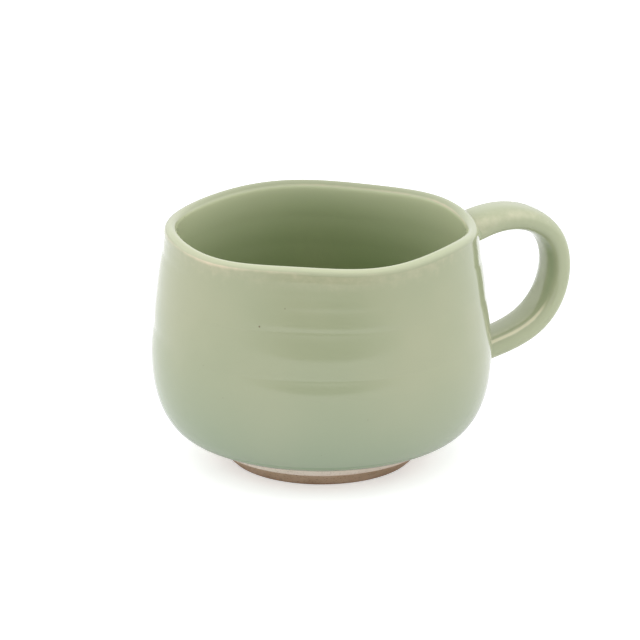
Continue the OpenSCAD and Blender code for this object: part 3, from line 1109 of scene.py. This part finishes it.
    def glaze(self) -> Piece:
        """Coat round the strap, a closed skin, paler along its rounded edges, with painted highlights and
        painted light.

        With side the angle round the section, 0 at the outside of the loop, and row the place along
        the strap, thin is a ridge about 129 degrees on the lower arm, glaze breaking over the edge and
        a painted highlight; a ledge about 152 on the lower arm, painted light on the face that the
        upper arm shades; a wide shoulder about 60 degrees that is strongest near the rim's root, a
        pale break and painted light on the upper arm's top; and a bell at either root. Pool is
        0.5 * bell((side - 145) / 15) * bell((row - 0.47) / 0.2), pooled glaze in the bend's hollow that
        also paints the shade falling there.
        """
        skin = self.to_wall(self.strap(0.0), 0.0)
        back = self.to_wall(self.strap(self.form.coat_t), 0.0)[::6]
        rings = np.concatenate([skin, back[::-1]])
        v = np.degrees(np.linspace(0.0, 2.0 * math.pi, self.cols, endpoint=False))[None, :]
        row = np.linspace(0.0, 1.0, len(skin))[:, None]
        side = np.minimum(v, 360.0 - v)
        # Painted highlight along the lower arm's edge, over a real break of the glaze.
        ridge = bell((side - 129.0) / 9.0) * smooth_step((140.0 - side) / 6.0)
        shoulder = bell((side - 60.0) / 38.0)
        hollow = bell((side - 145.0) / 15.0)
        lower = smooth_step((row - 0.55) / 0.2)
        patchy = 0.6 + 0.4 * np.sin(14.0 * row + 1.0)
        roots = 0.25 * bell(row / 0.06) + 0.3 * bell((1.0 - row) / 0.05)
        # Painted light on the lower arm's finger face, which the upper arm shades.
        ledge = 0.35 * lower * bell((side - 152.0) / 12.0)
        # Painted light on the upper arm's top, with the pale break there.
        upper = 0.4 * bell((row - 0.16) / 0.16)
        thin = ridge * lower + (0.15 * patchy + upper) * shoulder + roots + ledge
        # Pooled glaze in the bend's hollow, also painting the shade there.
        pool = 0.5 * hollow * bell((row - 0.47) / 0.2)
        pad = np.zeros((len(back), self.cols))
        shown = {"thin": np.clip(thin, 0.0, 1.0), "pool": pool}
        marks = {name: np.concatenate([mark, pad]) for name, mark in shown.items()}
        piece = ring_mesh("sage_strap_coat", rings, True, marks)
        return hand_over(piece, "handle_glaze", SAGE_STRAP.material())

    def fillet(self, share: float, name: str, node: str) -> Piece:
        """Ring with a concave quarter-round face in the corner between strap and wall.

        At turn t the face stands fillet_r * (1 - cos t) out from the strap and
        fillet_r * (1 - sin t) off the wall.

        Args:
            share: 0 for the rim's root, 1 for the belly's.
            name: the piece's name.
            node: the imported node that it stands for.
        Returns:
            The fillet.
        """
        at, way = self.middle(np.array([share]))
        out_way = self.root_way(share)

        def outline(grow: float) -> Array:
            """The strap's outline, grown, on the wall."""
            out, across = self.section(0.0, grow)
            ring = np.stack([at[0, 0] - way[0, 1] * out, across, at[0, 1] + way[0, 0] * out], axis=-1)
            return self.on_wall(ring, out_way, 0.05 * MM)

        turns = np.radians(np.linspace(0.0, 90.0, 14))
        r = self.fillet_r
        cove = [outline(r * (1 - math.cos(t))) + out_way * r * (1 - math.sin(t)) for t in turns]
        rings = np.stack([outline(-0.3 * MM), *cove, outline(r * 0.5) - out_way * 0.15 * MM])
        if share < 0.5:
            rings = rings[::-1]
        marks = {"thin": np.full((1, 1), 0.12), "pool": np.full((1, 1), 0.15)}
        piece = ring_mesh(name, rings, True, marks)
        return hand_over(piece, node, SAGE_STRAP.material())

    def build(self) -> list[Piece]:
        """Makes the strap, its coat and both fillets."""
        return [
            self.core(), self.glaze(),
            self.fillet(0.0, "upper_root_fillet", "upper_joint"),
            self.fillet(1.0, "lower_root_fillet", "lower_joint"),
        ]


# ---- studio


@dataclass
class Studio:
    """White table, soft surrounding light and the camera."""

    azimuth: float = -22.0
    elevation: float = 18.28
    distance: float = 1.0
    aim_z: float = 42.15 * MM
    side_step: float = 0.43 * MM
    lens: float = 188.1
    table_front: float = 0.36
    table_size: float = 3.0
    glow: float = 0.1
    lift: float = 0.33
    low: float = 1.05
    high: float = 1.3
    top: float = 1.3
    side: float = 0.5
    dark: float = 0.04
    under: float = 1.3

    def towards_camera(self) -> Vector:
        """Level unit direction from the mug to the camera."""
        a = math.radians(self.azimuth)
        return Vector((math.sin(a), -math.cos(a), 0.0))

    def camera(self) -> None:
        """Camera that looks at the mug's axis from the front."""
        data = bpy.data.cameras.new("studio_camera")
        data.lens = self.lens
        data.sensor_width = 36.0
        data.clip_start, data.clip_end = 0.05, 50.0
        cam = bpy.data.objects.new("studio_camera", data)
        e = math.radians(self.elevation)
        level = self.towards_camera()
        back = level * math.cos(e) + Vector((0.0, 0.0, math.sin(e)))
        right = Vector((-level.y, level.x, 0.0))
        cam.location = Vector((0.0, 0.0, self.aim_z)) + back * self.distance - right * self.side_step
        cam.rotation_euler = (-back).to_track_quat("-Z", "Y").to_euler()
        bpy.context.scene.collection.objects.link(cam)
        bpy.context.scene.camera = cam

    def table(self) -> None:
        """White table whose front edge stands between the mug and the camera."""
        level = self.towards_camera()
        side = Vector((-level.y, level.x, 0.0)) * self.table_size / 2.0
        front = level * self.table_front
        back = level * (self.table_front - self.table_size)
        mesh = bpy.data.meshes.new("white_table")
        mesh.from_pydata([front - side, front + side, back + side, back - side], [], [(0, 1, 2, 3)])
        table = bpy.data.objects.new("white_table", mesh)
        bpy.context.scene.collection.objects.link(table)
        mat, w = new_material("table_white")
        seen = w.add("ShaderNodeLightPath").outputs["Is Camera Ray"]
        w.surface({
            "Base Color": (0.84, 0.85, 0.87, 1.0), "Roughness": 0.9,
            "Emission Color": (1.0, 1.0, 1.0, 1.0),
            "Emission Strength": w.plus(w.times(seen, self.lift), self.glow),
        })
        mesh.materials.append(mat)

    def light(self) -> None:
        """Soft white light from all round, strongest from the sides and low down.

        With h the sine of a direction's elevation and s the size of its part to the left or right,
        the world is (low + (high - low) * rise(h, 0.1 to 0.35) - (high - top) * rise(h, 0.6 to
        0.85)) * (1 + side * rise(s, 0.6 to 0.95)). Under the horizon, where the room before the
        table's front edge is seen, it is dark in the middle and under * rise(s, 0.2 to 1) beside it.
        """
        world = bpy.data.worlds.new("soft_room")
        world.use_nodes = True
        w = Wiring(world.node_tree)
        w.tree.nodes.clear()
        way = w.add("ShaderNodeTexCoord").outputs["Generated"]
        level = self.towards_camera()
        across = w.add("ShaderNodeVectorMath", {"operation": "DOT_PRODUCT"},
                       {0: way, 1: (-level.y, level.x, 0.0)}).outputs["Value"]
        height = w.add("ShaderNodeSeparateXYZ", {}, {0: way}).outputs["Z"]
        rise = w.times(w.ramp(height, 0.1, 0.35), self.high - self.low)
        fall = w.times(w.ramp(height, 0.6, 0.85), self.high - self.top)
        room = w.less(w.plus(rise, self.low), fall)
        beside = w.math("ABSOLUTE", across)
        room = w.times(room, w.plus(w.times(w.ramp(beside, 0.6, 0.95), self.side), 1.0))
        over = w.ramp(height, -0.02, 0.02)
        below = w.times(w.times(w.ramp(beside, 0.2, 1.0), self.under), w.less(1.0, over))
        room = w.plus(w.plus(w.times(room, over), below), self.dark)
        seen = w.add("ShaderNodeLightPath").outputs["Is Camera Ray"]
        color = w.blend(seen, room, (1.0, 1.0, 1.0, 1.0))
        sky = w.add("ShaderNodeBackground", {}, {"Color": color, "Strength": 1.0})
        w.add("ShaderNodeOutputWorld", {}, {"Surface": sky.outputs["Background"]})
        bpy.context.scene.world = world
        bpy.context.scene.view_settings.view_transform = "Standard"

    def build(self) -> None:
        """Makes the table, the light and the camera."""
        self.table()
        self.light()
        self.camera()


def main() -> None:
    """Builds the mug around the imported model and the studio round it."""
    logging.basicConfig(level=logging.INFO, format="%(name)s: %(message)s")
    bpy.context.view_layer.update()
    form = MugForm.measured()
    parts: list[Callable[[], list[Piece]]] = [
        ThrownBody(form).build, TurnedFoot(form).build, PulledHandle(form).build,
    ]
    made = [piece for build in parts for piece in build()]
    LOG.info("%d pieces", len(made))
    Studio().build()


if __name__ == "__main__":
    main()
